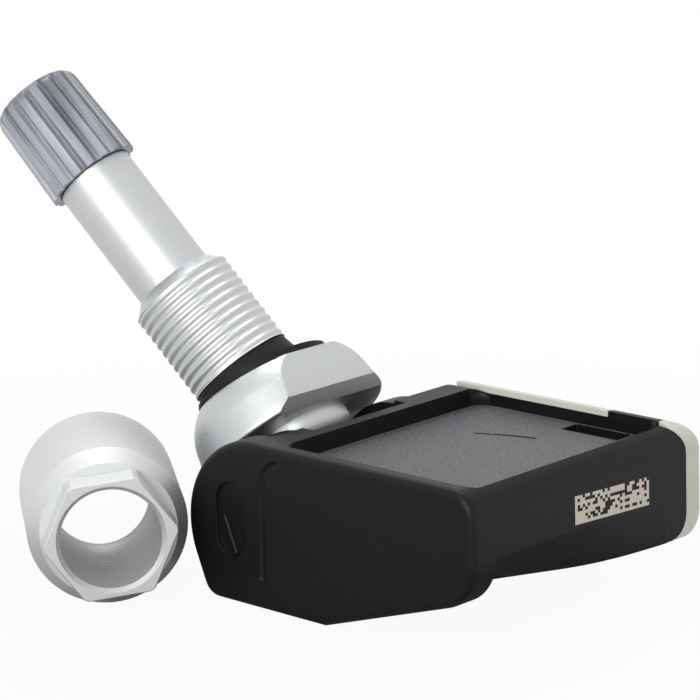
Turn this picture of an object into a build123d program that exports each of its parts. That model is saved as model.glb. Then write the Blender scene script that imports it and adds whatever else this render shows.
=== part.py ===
from build123d import *
import math

# Clamp-in tyre pressure sensor: a moulded housing with its electronics, a valve stem
# that swivels on a pin in the housing's cradle, and the clamping nut, which lies beside it.
# Millimetres. X runs along the housing from its front flange, Y across it, Z up from the floor.
# The swivel pin lies along X at Y = 0, and the middle of the front flange is at X = 0.

# Housing outline
housing_height = 16.6
housing_length = 31.2
housing_width = 28.5
flange_thickness = 3.3
flange_step = 1.0
flange_low_corner = 5.0
flange_edge_round = 0.7
nose_radius = 9.1
toe_angle = 22
toe_corner = 2.0
sole_angle = 17.4
sole_edge_drop = 11.5
sole_arch_radius = 101
undercut_height = 9.75
undercut_angle = 26
undercut_end_gap = 3.5
undercut_end_depth = 0.05
end_top_radius = 3.3
end_low_radius = 2.4
top_corner = 2.7

# Panel recess, with the port pocket in its far corner
rim_width = 1.5
end_rim_width = 1.4
far_rim_width = 3.13
recess_depth = 1.9
recess_corner = 1.6
port_pocket_length = 7.0
port_pocket_width = 2.4
port_pocket_depth = 0.8
port_pocket_from_near = 4.0
port_radius = 0.6
groove_width = 0.4
groove_depth = 0.3
groove_length = 6.4
groove_turn = -70.7
groove_bow = 24
groove_from_end = 8.7
groove_from_far = 7.07

# Cradle and swivel
pivot_outside_box = 3.05
pivot_height = 8.4
lug_centre_x = 12.25
lug_length = 12.3
lug_radius = 4.3
lug_side_gap = 0.35
lug_round_gap = 0.3
cradle_setback = 0.35
rear_cheek = 3.25
pin_radius = 1.5
pin_cover = 0.65
pin_rear_inset = 0.4
pin_running_gap = 0.05
pin_press_gap = 0.02
nose_pocket_width = 3.75
nose_pocket_height = 7.4
nose_pocket_depth = 0.4

# Collar: stations are measured from the pin along the collar's axis, square to the pin
stem_rise = 49.02
collar_axis_x = 12.05
neck_radius = 5.7
neck_start = 2.0
collar_start = 6.45
collar_edge = 0.4
collar_radius = 10.1
collar_rim_end = 7.1
collar_shoulder_start = 9.7
collar_shoulder_radius = 9.65
collar_bulge_start = 12.0
collar_bulge_radius = 8.6
collar_flat_edge = 0.4
collar_flat_bevel = 1.1
collar_top = 13.4
collar_top_radius = 7.0
collar_flats = 15.9
seat_station = 12.7
seat_tilt = 5

# Valve stem: it leans out of the collar, and its stations run along the stem
stem_lean = 9.306
stem_root_x = 12.63
stem_base = 9.0
thread_start = 15.26
thread_length = 11.2
thread_diameter = 11.0
thread_chamfer = 1.2
seal_groove_radius = 4.4
stem_diameter = 8.2
stem_shoulder = 40.2
tip_diameter = 7.7
stem_end = 49.5
tip_chamfer = 0.5
air_bore_radius = 1.5
air_bore_start = 5.0
cross_bore_radius = 1.0
core_bore_radius = 2.65
core_bore_start = 29.5
swing_down = -12
swing_up = 4
swing_step = 4
collar_swing_gap = 0.35

# Rubber grommet on the collar's slanted seat
grommet_fit = 0.05
grommet_sleeve_radius = 5.35
grommet_base_radius = 6.6
grommet_skirt_radius = 7.2
grommet_skirt_height = 0.95
grommet_thread_gap = 0.06

# Valve core
core_fit = 0.1
core_start = 33.5
core_length = 14.5
core_inner_radius = 1.25
core_guide_radius = 0.75
core_guide_length = 1.5
core_seat_length = 2.5
core_ring_groove = 0.45
core_ring_width = 1.5
core_ring_station = 40.5
core_ring_fit = 0.03
plunger_radius = 0.55
plunger_end = 49.2
plunger_collar_radius = 1.05
plunger_collar_length = 0.7
spring_length = 7.0
spring_turns = 6
spring_wire_radius = 0.14
spring_end_gap = 0.06
cup_radius = 1.9
cup_height = 1.3
cup_gap = 0.05
cup_fit = 0.02
plunger_tail = 0.6

# Ribbed dust cap and its sealing washer
cap_skirt_start = 40.3
cap_length = 10.79
cap_skirt_radius = 4.98
cap_tip_radius = 4.72
cap_dome = 1.4
cap_thread_gap = 0.3
cap_end_wall = 1.0
cap_rib_count = 18
cap_rib_groove_radius = 0.42
washer_hole_radius = 1.6
washer_gap = 0.05

# Clamping nut, lying on its side beside the nose
nut_radius = 7.9
nut_length = 14.7
nut_turn = 52.3
nut_face_x = -9.12
nut_face_y = 9.51
nut_edge = 0.7
nut_bore_radius = 4.95
nut_cone_height = 1.6
nut_cone_radius = 6.75
nut_hexagon_flats = 11.6
nut_hexagon_height = 3.4
nut_hexagon_turn = -5.6
nut_mouth_edge = 0.4
nut_relief_radius = 6.3
nut_relief_depth = 4.3

# Cavity, circuit board and what stands on it
top_wall = 1.7
near_wall = 2.05
cavity_start_x = 5.0
cavity_width = 21.9
board_thickness = 1.0
component_gap = 0.5
component_columns = 4
board_gap = 0.15
battery_radius = 8.0
battery_height = 3.2
battery_gap = 0.15
battery_end_gap = 0.7
battery_head_gap = 1.1
battery_bay_from_near = 7.55
battery_edge_round = 0.3
tab_thickness = 0.2
tab_width = 3.0
tab_length = 8.0
sensor_chip_size = 3.0
sensor_chip_height = 1.2
sensor_well_depth = 0.6
gasket_radius = 1.3
gasket_gap = 0.05
radio_chip_size = 6.0
radio_chip_height = 0.9
crystal_length = 3.2
crystal_width = 2.5
crystal_height = 0.8
crystal_corner = 0.5
coil_length = 8.0
coil_width = 2.6
coil_height = 2.0
coil_cheek = 1.0
coil_step = 0.4
coil_winding_gap = 0.03
aerial_span = 16.0
aerial_width = 1.0
aerial_thickness = 0.4
aerial_height = 1.8
capacitor_length = 1.6
capacitor_width = 0.8
capacitor_pitch = 1.8
capacitor_count = 4

# End lid, with the housing's catch over it
lid_thickness = 2.05
lid_seam = 0.05
lid_plug = 0.8
lid_plug_gap = 0.1
catch_from_near = 2.3
catch_width = 6.2
catch_reach = 0.5
catch_depth = 2.0
catch_gap = 0.1

# Places that follow from the sizes above
front_x = -flange_thickness / 2
back_x = flange_thickness / 2
end_x = front_x + housing_length
far_y = -pivot_outside_box
near_y = far_y - housing_width
recess_floor = housing_height - recess_depth
recess_start_x = front_x + rim_width
recess_end_x = end_x - end_rim_width
recess_near_y = near_y + rim_width
recess_far_y = far_y - far_rim_width
cavity_top = recess_floor - top_wall
cavity_near_y = near_y + near_wall
cavity_far_y = cavity_near_y + cavity_width
sole_edge_height = housing_height - sole_edge_drop
flange_edge_height = sole_edge_height + flange_step
board_seat_height = cavity_top - component_gap - coil_height - board_thickness
battery_bay_floor = board_seat_height - battery_head_gap - battery_height - 2 * tab_thickness
battery_x = end_x - battery_end_gap - battery_radius
battery_bay_start_x = battery_x - battery_radius - battery_gap - 2 * tab_thickness
slot_width = lug_length + 2 * lug_side_gap
slot_start_x = lug_centre_x - slot_width / 2
slot_end_x = slot_start_x + slot_width
cheek_end_x = slot_end_x + rear_cheek
slot_radius = lug_radius + lug_round_gap
nose_centre_z = housing_height - nose_radius
overlap = 1.0
pin_start_x = back_x - pin_cover
pin_end_x = cheek_end_x - pin_rear_inset

lean = math.radians(stem_lean)
rise = math.radians(stem_rise)
stem_direction = Vector(
    -math.sin(lean),
    math.cos(lean) * math.cos(rise),
    math.cos(lean) * math.sin(rise),
)
stem_root = Vector(stem_root_x, 0, pivot_height)
stem = Plane(origin=stem_root, x_dir=(1, 0, 0), z_dir=stem_direction)
head = Plane(
    origin=(collar_axis_x, 0, pivot_height),
    x_dir=(1, 0, 0),
    z_dir=(0, math.cos(rise), math.sin(rise)),
)


def meridian(base):
    """The plane of radius and station for a piece turned about the base plane's normal."""
    return Plane(origin=base.origin, x_dir=base.x_dir, z_dir=-base.y_dir)


def turned(base, *outline):
    """A turned piece: radius and station pairs revolved about the base plane's normal."""
    with BuildPart() as piece:
        with BuildSketch(meridian(base)):
            with BuildLine():
                Polyline(*outline, close=True)
            make_face()
        revolve(axis=Axis(base.origin, base.z_dir))
    return piece.part


def tube(base, inner, outer, start, end):
    """A plain turned sleeve, or a rod where the inner radius is nothing."""
    return turned(base, (inner, start), (outer, start), (outer, end), (inner, end))


def nose_points(radius):
    """Where the round nose meets its slanting toe, and where the toe meets the floor."""
    toe = math.radians(toe_angle)
    tangent_y = far_y + radius * math.cos(toe)
    tangent_z = nose_centre_z - radius * math.sin(toe)
    toe_y = tangent_y - tangent_z * math.tan(toe)
    return tangent_y, tangent_z, toe_y


def box_form(end_at):
    """The long box behind the flange: undercut near side, rounded end and arched sole."""
    lean_in = undercut_height * math.tan(math.radians(undercut_angle))
    slope = math.radians(sole_angle)
    low_x = end_at - end_low_radius
    reach = (low_x - back_x) / sole_arch_radius
    arch_angle = math.degrees(math.asin(reach))
    arch_rise = sole_arch_radius * (1 - math.cos(math.asin(reach)))
    across = housing_width + 2 * nose_radius
    soles = (
        (sole_edge_height, (0, math.cos(slope), -math.sin(slope))),
        (0, (0, 1, 0)),
    )
    with BuildPart() as form:
        with BuildSketch(Plane.YZ.offset(back_x)):
            with BuildLine():
                Polyline(
                    (near_y, housing_height),
                    (near_y, 0),
                    (far_y, 0),
                    (far_y, housing_height),
                    close=True,
                )
            make_face()
            fillet(vertices().group_by(Axis.X)[0].sort_by(Axis.Y)[-1], radius=top_corner)
        extrude(amount=end_at - back_x)
        # The undercut is deepest at the flange and dies out towards the end
        undercuts = ((back_x, lean_in), (end_x - undercut_end_gap, undercut_end_depth))
        for station, depth in undercuts:
            with BuildSketch(Plane.YZ.offset(station)):
                with BuildLine():
                    Polyline(
                        (near_y, undercut_height),
                        (near_y + depth, 0),
                        (near_y + depth, -overlap),
                        (near_y - overlap, -overlap),
                        (near_y - overlap, undercut_height),
                        close=True,
                    )
                make_face()
        loft(ruled=True, mode=Mode.SUBTRACT)
        # The end's upper edge is rounded straight across
        round_x = end_at - end_top_radius
        round_z = housing_height - end_top_radius
        with BuildSketch(Plane.XZ.offset(-near_y)):
            with BuildLine():
                CenterArc((round_x, round_z), end_top_radius, 0, 90)
                Polyline(
                    (round_x, housing_height),
                    (round_x, housing_height + overlap),
                    (end_at + overlap, housing_height + overlap),
                    (end_at + overlap, round_z),
                    (end_at, round_z),
                )
            make_face()
        extrude(amount=across, dir=(0, 1, 0), mode=Mode.SUBTRACT)
        # Arched soles: the near half slopes up, the far half is level
        for edge_height, direction in soles:
            with BuildSketch(Plane.XZ.offset(-near_y)):
                with BuildLine():
                    CenterArc(
                        (low_x, edge_height + sole_arch_radius),
                        sole_arch_radius,
                        -90 - arch_angle,
                        arch_angle,
                    )
                    CenterArc((low_x, edge_height + end_low_radius), end_low_radius, -90, 90)
                    Polyline(
                        (end_at, edge_height + end_low_radius),
                        (end_at + overlap, edge_height + end_low_radius),
                        (end_at + overlap, -housing_height),
                        (back_x, -housing_height),
                        (back_x, edge_height + arch_rise),
                    )
                make_face()
            extrude(amount=across, dir=direction, mode=Mode.SUBTRACT)
    return form.part


# Housing: front flange, long box, swivel cradle, panel recess and cavity
tangent_y, tangent_z, toe_y = nose_points(nose_radius)
foot_y = near_y + flange_edge_height / math.tan(math.radians(sole_angle))
with BuildPart() as flange:
    with BuildSketch(Plane.YZ.offset(front_x)):
        with BuildLine():
            Polyline(
                (far_y, housing_height),
                (near_y, housing_height),
                (near_y, flange_edge_height),
                (foot_y, 0),
                (toe_y, 0),
                (tangent_y, tangent_z),
            )
            CenterArc((far_y, nose_centre_z), nose_radius, -toe_angle, 90 + toe_angle)
        make_face()
        fillet(vertices().group_by(Axis.X)[0].sort_by(Axis.Y)[-1], radius=top_corner)
        fillet(vertices().group_by(Axis.X)[0].sort_by(Axis.Y)[0], radius=flange_low_corner)
        fillet(vertices().group_by(Axis.Y)[0].sort_by(Axis.X)[-1], radius=toe_corner)
    extrude(amount=flange_thickness)
    fillet(flange.faces().sort_by(Axis.X)[0].edges(), radius=flange_edge_round)

cradle_radius = nose_radius - cradle_setback
cradle_top = nose_centre_z + cradle_radius
tangent_y, tangent_z, toe_y = nose_points(cradle_radius)
with BuildPart() as cradle:
    with BuildSketch(Plane.YZ.offset(back_x)):
        with BuildLine():
            Polyline(
                (far_y, cradle_top),
                (far_y - overlap, cradle_top),
                (far_y - overlap, 0),
                (toe_y, 0),
                (tangent_y, tangent_z),
            )
            CenterArc((far_y, nose_centre_z), cradle_radius, -toe_angle, 90 + toe_angle)
        make_face()
    extrude(amount=cheek_end_x - back_x)

with BuildPart() as catch:
    add(box_form(end_x + lid_thickness))
    with BuildSketch(Plane.XY.offset(housing_height - catch_depth)):
        with Locations((end_x + catch_reach, near_y + catch_from_near)):
            Rectangle(end_top_radius + catch_reach, catch_width, align=(Align.MAX, Align.MIN))
    extrude(amount=catch_depth + overlap, mode=Mode.INTERSECT)

with BuildPart() as housing:
    add(box_form(end_x))
    add(cradle.part)
    add(catch.part)
    # Swivel slot, open towards the wheel and upwards
    with BuildSketch(Plane.YZ.offset(slot_start_x)):
        with BuildLine():
            CenterArc((0, pivot_height), slot_radius, 180, 90)
            Polyline(
                (0, pivot_height - slot_radius),
                (nose_radius * 2, pivot_height - slot_radius),
                (nose_radius * 2, housing_height * 2),
                (-slot_radius, housing_height * 2),
                (-slot_radius, pivot_height),
            )
        make_face()
    extrude(amount=slot_width, mode=Mode.SUBTRACT)
    # Room for the collar through its whole swing
    for swing in range(swing_down, swing_up + 1, swing_step):
        swung = head.offset(collar_start - collar_swing_gap).location
        swept = Plane(Location((0, 0, pivot_height)) * Rotation(swing, 0, 0)
                      * Location((0, 0, -pivot_height)) * swung)
        with BuildSketch(swept):
            Circle(collar_radius + collar_swing_gap)
        extrude(amount=collar_top, mode=Mode.SUBTRACT)
    add(flange.part)
    # Panel recess with its rounded rim
    with BuildSketch(Plane.XY.offset(housing_height)):
        with Locations((recess_start_x, recess_near_y)):
            RectangleRounded(
                recess_end_x - recess_start_x,
                recess_far_y - recess_near_y,
                recess_corner,
                align=(Align.MIN, Align.MIN),
            )
    extrude(amount=-recess_depth, mode=Mode.SUBTRACT)
    # Pressure port in a pocket beside the end rim
    port_x = recess_end_x - port_pocket_width / 2
    port_y = recess_near_y + port_pocket_from_near + port_pocket_length / 2
    with BuildSketch(Plane.XY.offset(recess_floor)):
        with Locations((port_x, port_y)):
            Rectangle(port_pocket_width, port_pocket_length)
    extrude(amount=-port_pocket_depth, mode=Mode.SUBTRACT)
    with BuildSketch(Plane.XY.offset(recess_floor)):
        with Locations((port_x, port_y)):
            Circle(port_radius)
    extrude(amount=-top_wall - overlap, mode=Mode.SUBTRACT)
    # Thin bowed groove across the panel
    with BuildSketch(Plane.XY.offset(recess_floor)):
        with BuildLine():
            groove_start = Vector(recess_end_x - groove_from_end, recess_far_y - groove_from_far)
            groove_run = Vector(groove_length, 0).rotate(Axis.Z, groove_turn)
            RadiusArc(groove_start, groove_start + groove_run, groove_bow)
        trace(line_width=groove_width)
    extrude(amount=-groove_depth, mode=Mode.SUBTRACT)
    # Cavity: board room above, battery bay below, both open at the end
    with BuildSketch(Plane.YZ.offset(cavity_start_x)):
        with Locations((cavity_near_y, board_seat_height)):
            Rectangle(cavity_width, cavity_top - board_seat_height, align=(Align.MIN, Align.MIN))
    extrude(amount=end_x - cavity_start_x, mode=Mode.SUBTRACT)
    bay_width = 2 * (battery_radius + battery_gap)
    bay_near_y = near_y + battery_bay_from_near
    with BuildSketch(Plane.YZ.offset(battery_bay_start_x)):
        with Locations((bay_near_y, battery_bay_floor)):
            Rectangle(bay_width, board_seat_height - battery_bay_floor, align=(Align.MIN, Align.MIN))
    extrude(amount=end_x - battery_bay_start_x, mode=Mode.SUBTRACT)
    # Swivel pin hole, blind towards the front, and the oval pocket on the nose
    with BuildSketch(Plane.YZ.offset(pin_start_x)):
        with Locations((0, pivot_height)):
            Circle(pin_radius + pin_press_gap)
    extrude(amount=cheek_end_x - pin_start_x + overlap, mode=Mode.SUBTRACT)
    with BuildSketch(Plane.YZ.offset(front_x)):
        with Locations((0, pivot_height)):
            SlotOverall(nose_pocket_height, nose_pocket_width, rotation=90)
    extrude(amount=nose_pocket_depth, mode=Mode.SUBTRACT)
housing.part.label = "housing"
export_step(housing.part, "parts/housing.step")

# Swivel pin, pushed in from behind through the rear cheek
with BuildPart() as pivot_pin:
    with BuildSketch(Plane.YZ.offset(pin_start_x)):
        with Locations((0, pivot_height)):
            Circle(pin_radius)
    extrude(amount=pin_end_x - pin_start_x)
pivot_pin.part.label = "pivot_pin"
export_step(pivot_pin.part, "parts/pivot_pin.step")

# Valve body, one piece of metal: lug, neck, collar, thread, stem and tip
with BuildPart() as valve_body:
    with BuildSketch(meridian(head)):
        with BuildLine():
            Polyline(
                (collar_shoulder_radius, collar_shoulder_start),
                (collar_radius, collar_rim_end),
                (collar_radius, collar_start + collar_edge),
            )
            CenterArc((collar_radius - collar_edge, collar_start + collar_edge), collar_edge, -90, 90)
            Polyline(
                (collar_radius - collar_edge, collar_start),
                (0, collar_start),
                (0, collar_top),
                (collar_top_radius, collar_top),
            )
            ThreePointArc(
                (collar_top_radius, collar_top),
                (collar_bulge_radius, collar_bulge_start),
                (collar_shoulder_radius, collar_shoulder_start),
            )
        make_face()
    revolve(axis=Axis(head.origin, head.z_dir))
    # Two spanner flats beside the swivel pin
    with BuildSketch(head.offset(collar_start - overlap)):
        for side in (-1, 1):
            with Locations((0, side * collar_flats / 2)):
                Rectangle(
                    3 * collar_radius,
                    collar_radius,
                    align=(Align.CENTER, Align.MIN if side > 0 else Align.MAX),
                )
    extrude(amount=collar_top, mode=Mode.SUBTRACT)
    flat_sides = valve_body.faces().filter_by(Plane(origin=head.origin, z_dir=head.y_dir))
    fillet(flat_sides.edges(), radius=collar_flat_edge)
    with BuildSketch(Plane(origin=head.origin, x_dir=head.y_dir, z_dir=head.x_dir)):
        for side in (-1, 1):
            flat_at = side * collar_flats / 2
            with BuildLine():
                Polyline(
                    (flat_at, collar_start + collar_flat_bevel),
                    (flat_at - side * collar_flat_bevel, collar_start),
                    (flat_at - side * collar_flat_bevel, collar_start - overlap),
                    (side * (collar_radius + overlap), collar_start - overlap),
                    (side * (collar_radius + overlap), collar_start + collar_flat_bevel),
                    close=True,
                )
            make_face()
    extrude(amount=collar_radius, both=True, mode=Mode.SUBTRACT)
    # Slanted seat of the grommet
    seat = head.offset(seat_station).rotated((seat_tilt, 0, 0))
    split(bisect_by=seat, keep=Keep.BOTTOM)
    # Neck and swivel lug
    add(tube(head, 0, neck_radius, neck_start, collar_start + overlap))
    with BuildSketch(Plane.YZ.offset(lug_centre_x - lug_length / 2)):
        with Locations((0, pivot_height)):
            Circle(lug_radius)
    extrude(amount=lug_length)
    # Stem with its clamping thread and its tip
    thread_end = thread_start + thread_length
    thread_radius = thread_diameter / 2
    stem_radius = stem_diameter / 2
    tip_radius = tip_diameter / 2
    add(
        turned(
            stem,
            (0, stem_base),
            (seal_groove_radius, stem_base),
            (seal_groove_radius, thread_start),
            (thread_radius, thread_start),
            (thread_radius, thread_end - thread_chamfer),
            (thread_radius - thread_chamfer, thread_end),
            (stem_radius, thread_end),
            (stem_radius, stem_shoulder),
            (tip_radius, stem_shoulder),
            (tip_radius, stem_end - tip_chamfer),
            (tip_radius - tip_chamfer, stem_end),
            (0, stem_end),
        )
    )
    # Air bore, its cross bore under the collar, the core's bore and the pin's bore
    add(tube(stem, 0, air_bore_radius, air_bore_start, core_bore_start + overlap), mode=Mode.SUBTRACT)
    add(tube(stem, 0, core_bore_radius, core_bore_start, stem_end + overlap), mode=Mode.SUBTRACT)
    cross_station = stem_root + stem_direction * air_bore_start
    with BuildSketch(Plane(origin=cross_station, x_dir=stem.x_dir, z_dir=stem.y_dir)):
        Circle(cross_bore_radius)
    extrude(amount=collar_radius, mode=Mode.SUBTRACT)
    with BuildSketch(Plane.YZ.offset(slot_start_x)):
        with Locations((0, pivot_height)):
            Circle(pin_radius + pin_running_gap)
    extrude(amount=slot_width, mode=Mode.SUBTRACT)
valve_body.part.label = "valve_body"
export_step(valve_body.part, "parts/valve_body.step")

# Rubber grommet between the collar and the wheel
with BuildPart() as grommet:
    grommet_end = thread_start - grommet_thread_gap
    grommet_bore = seal_groove_radius + grommet_fit
    add(tube(head, 0, grommet_skirt_radius, stem_base, thread_start))
    split(bisect_by=seat.offset(grommet_skirt_height), keep=Keep.BOTTOM)
    add(
        turned(
            stem,
            (0, stem_base),
            (grommet_base_radius, stem_base),
            (grommet_sleeve_radius, grommet_end),
            (0, grommet_end),
        )
    )
    split(bisect_by=seat.offset(grommet_fit), keep=Keep.TOP)
    add(tube(stem, 0, grommet_bore, stem_base, grommet_end + overlap), mode=Mode.SUBTRACT)
grommet.part.label = "grommet"
export_step(grommet.part, "parts/grommet.step")

# Valve core: threaded sleeve, sealing ring, spring, plunger and its sealing cup
core_radius = core_bore_radius - core_fit
core_end = core_start + core_length
core_shelf = core_start + core_seat_length
ring_inner = core_radius - core_ring_groove
ring_end = core_ring_station + core_ring_width
with BuildPart() as core_body:
    add(
        turned(
            stem,
            (core_guide_radius, core_start),
            (core_radius, core_start),
            (core_radius, core_ring_station),
            (ring_inner, core_ring_station),
            (ring_inner, ring_end),
            (core_radius, ring_end),
            (core_radius, core_end),
            (core_guide_radius, core_end),
            (core_guide_radius, core_end - core_guide_length),
            (core_inner_radius, core_end - core_guide_length),
            (core_inner_radius, core_shelf),
            (core_guide_radius, core_shelf),
        )
    )
core_body.part.label = "core_body"
export_step(core_body.part, "parts/core_body.step")

with BuildPart() as core_ring:
    add(
        tube(
            stem,
            ring_inner + core_ring_fit,
            core_radius + core_ring_fit,
            core_ring_station + core_ring_fit,
            ring_end - core_ring_fit,
        )
    )
core_ring.part.label = "core_ring"
export_step(core_ring.part, "parts/core_ring.step")

# The spring stands on the sleeve's shelf and pushes the plunger's collar outwards
spring_radius = (core_inner_radius + plunger_radius) / 2
spring_start = core_shelf + spring_end_gap + spring_wire_radius
coil_height_along = spring_length - 2 * (spring_end_gap + spring_wire_radius)
with BuildPart() as core_spring:
    with BuildLine():
        coil = Helix(
            coil_height_along / spring_turns,
            coil_height_along,
            spring_radius,
            center=stem_root + stem_direction * spring_start,
            direction=stem_direction,
        )
    with BuildSketch(Plane(origin=coil @ 0, z_dir=coil % 0)):
        Circle(spring_wire_radius)
    sweep(path=coil, is_frenet=True)
core_spring.part.label = "core_spring"
export_step(core_spring.part, "parts/core_spring.step")

plunger_collar_start = core_shelf + spring_length
cup_end = core_start - cup_gap
plunger_start = cup_end - cup_height - plunger_tail
with BuildPart() as core_plunger:
    add(
        turned(
            stem,
            (0, plunger_start),
            (plunger_radius, plunger_start),
            (plunger_radius, plunger_collar_start),
            (plunger_collar_radius, plunger_collar_start),
            (plunger_collar_radius, plunger_collar_start + plunger_collar_length),
            (plunger_radius, plunger_collar_start + plunger_collar_length),
            (plunger_radius, plunger_end),
            (0, plunger_end),
        )
    )
core_plunger.part.label = "core_plunger"
export_step(core_plunger.part, "parts/core_plunger.step")

with BuildPart() as core_cup:
    add(tube(stem, plunger_radius + cup_fit, cup_radius, cup_end - cup_height, cup_end))
core_cup.part.label = "core_cup"
export_step(core_cup.part, "parts/core_cup.step")

# Dust cap: a tapering ribbed thimble with a domed end, and its washer
cap_end = cap_skirt_start + cap_length
cap_inner_radius = tip_radius + cap_thread_gap
cap_ceiling = cap_end - cap_end_wall
with BuildPart() as cap:
    for station, radius in ((cap_skirt_start, cap_skirt_radius), (cap_end, cap_tip_radius)):
        with BuildSketch(stem.offset(station)):
            Circle(radius)
            with PolarLocations(radius, cap_rib_count):
                Circle(cap_rib_groove_radius, mode=Mode.SUBTRACT)
    loft(ruled=True)
    with BuildSketch(meridian(stem)):
        with BuildLine():
            Polyline(
                (cap_tip_radius, cap_end - cap_dome),
                (cap_skirt_radius, cap_end - cap_dome),
                (cap_skirt_radius, cap_end + overlap),
                (0, cap_end + overlap),
                (0, cap_end),
                (cap_tip_radius - cap_dome, cap_end),
            )
            RadiusArc(
                (cap_tip_radius - cap_dome, cap_end),
                (cap_tip_radius, cap_end - cap_dome),
                cap_dome,
            )
        make_face()
    revolve(axis=Axis(stem.origin, stem.z_dir), mode=Mode.SUBTRACT)
    add(tube(stem, 0, cap_inner_radius, cap_skirt_start - overlap, cap_ceiling), mode=Mode.SUBTRACT)
cap.part.label = "cap"
export_step(cap.part, "parts/cap.step")

with BuildPart() as cap_washer:
    add(tube(stem, washer_hole_radius, tip_radius, stem_end + washer_gap, cap_ceiling - washer_gap))
cap_washer.part.label = "cap_washer"
export_step(cap_washer.part, "parts/cap_washer.step")

# Clamping nut: a plain sleeve with a coned shoulder and a hexagon in front, and a wider
# bore behind its thread
turn = math.radians(nut_turn)
nut_plane = Plane(
    origin=(nut_face_x, nut_face_y, nut_radius),
    x_dir=(math.sin(turn), -math.cos(turn), 0),
    z_dir=(math.cos(turn), math.sin(turn), 0),
)
nut_front = -nut_cone_height - nut_hexagon_height
with BuildPart() as nut:
    add(
        turned(
            nut_plane,
            (0, -nut_cone_height),
            (nut_cone_radius, -nut_cone_height),
            (nut_radius, 0),
            (nut_radius, nut_length - nut_edge),
            (nut_radius - nut_edge, nut_length),
            (0, nut_length),
        )
    )
    with BuildSketch(nut_plane.offset(-nut_cone_height)):
        RegularPolygon(nut_hexagon_flats / 2, 6, major_radius=False, rotation=nut_hexagon_turn)
    extrude(amount=-nut_hexagon_height)
    add(
        tube(nut_plane, 0, nut_bore_radius, nut_front - overlap, nut_length + overlap),
        mode=Mode.SUBTRACT,
    )
    relief_start = nut_length - nut_relief_depth
    add(
        tube(nut_plane, 0, nut_relief_radius, relief_start, nut_length + overlap),
        mode=Mode.SUBTRACT,
    )
    add(
        turned(
            nut_plane,
            (0, nut_front - nut_mouth_edge),
            (nut_bore_radius + 2 * nut_mouth_edge, nut_front - nut_mouth_edge),
            (nut_bore_radius, nut_front + nut_mouth_edge),
            (0, nut_front + nut_mouth_edge),
        ),
        mode=Mode.SUBTRACT,
    )
nut.part.label = "nut"
export_step(nut.part, "parts/nut.step")

# Circuit board on the cavity's ledges
board_end_x = end_x - lid_plug - 2 * board_gap
board_start_x = cavity_start_x + board_gap
board_near_y = cavity_near_y + board_gap
board_far_y = cavity_far_y - board_gap
board_top = board_seat_height + board_thickness
with BuildPart() as circuit_board:
    with BuildSketch(Plane.XY.offset(board_seat_height)):
        with Locations((board_start_x, board_near_y)):
            Rectangle(
                board_end_x - board_start_x,
                board_far_y - board_near_y,
                align=(Align.MIN, Align.MIN),
            )
    extrude(amount=board_thickness)
circuit_board.part.label = "circuit_board"
export_step(circuit_board.part, "parts/circuit_board.step")


def on_board(x, y, length, width, height):
    """A flat component standing on the board."""
    with BuildPart() as component:
        with BuildSketch(Plane.XY.offset(board_top)):
            with Locations((x, y)):
                Rectangle(length, width)
        extrude(amount=height)
    return component.part


# Pressure sensor under the port, with the gasket that seals it to the housing
with BuildPart() as pressure_sensor:
    add(on_board(port_x, port_y, sensor_chip_size, sensor_chip_size, sensor_chip_height))
    with BuildSketch(Plane.XY.offset(board_top + sensor_chip_height)):
        with Locations((port_x, port_y)):
            Circle(port_radius)
    extrude(amount=-sensor_well_depth, mode=Mode.SUBTRACT)
pressure_sensor.part.label = "pressure_sensor"
export_step(pressure_sensor.part, "parts/pressure_sensor.step")

gasket_bottom = board_top + sensor_chip_height
with BuildPart() as port_gasket:
    with BuildSketch(Plane.XY.offset(gasket_bottom)):
        with Locations((port_x, port_y)):
            Circle(gasket_radius)
            Circle(port_radius, mode=Mode.SUBTRACT)
    extrude(amount=cavity_top - gasket_gap - gasket_bottom)
port_gasket.part.label = "port_gasket"
export_step(port_gasket.part, "parts/port_gasket.step")

# The other components stand in two rows along the board
row_step = (board_end_x - board_start_x) / component_columns
row_near_y = board_near_y + coil_width
row_middle_y = (board_near_y + board_far_y) / 2
row_far_y = board_far_y - radio_chip_size / 2 - board_gap
with BuildPart() as radio_chip:
    add(on_board(board_start_x + 2 * row_step, row_middle_y, radio_chip_size, radio_chip_size,
                 radio_chip_height))
radio_chip.part.label = "radio_chip"
export_step(radio_chip.part, "parts/radio_chip.step")

with BuildPart() as crystal:
    add(on_board(board_start_x + 3 * row_step, row_far_y, crystal_length, crystal_width,
                 crystal_height))
    fillet(crystal.edges().filter_by(Axis.Z), radius=crystal_corner)
crystal.part.label = "crystal"
export_step(crystal.part, "parts/crystal.step")

with BuildPart() as capacitors:
    with BuildSketch(Plane.XY.offset(board_top)):
        with Locations((board_start_x + 2 * row_step, row_far_y)):
            with GridLocations(capacitor_pitch, capacitor_width, capacitor_count, 1):
                Rectangle(capacitor_width, capacitor_length)
    extrude(amount=capacitor_width)
capacitors.part.label = "capacitors"
export_step(capacitors.part, "parts/capacitors.step")

# Wake-up coil: a dumb-bell ferrite core with its winding
coil_x = board_start_x + 2 * row_step
with BuildPart() as coil_core:
    add(on_board(coil_x, row_near_y, coil_length, coil_width, coil_height))
    with BuildSketch(Plane.YZ.offset(coil_x - coil_length / 2 + coil_cheek)):
        with Locations((row_near_y, board_top + coil_height / 2)):
            Rectangle(coil_width, coil_height)
            Rectangle(coil_width - 2 * coil_step, coil_height - 2 * coil_step, mode=Mode.SUBTRACT)
    extrude(amount=coil_length - 2 * coil_cheek, mode=Mode.SUBTRACT)
coil_core.part.label = "coil_core"
export_step(coil_core.part, "parts/coil_core.step")

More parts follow.
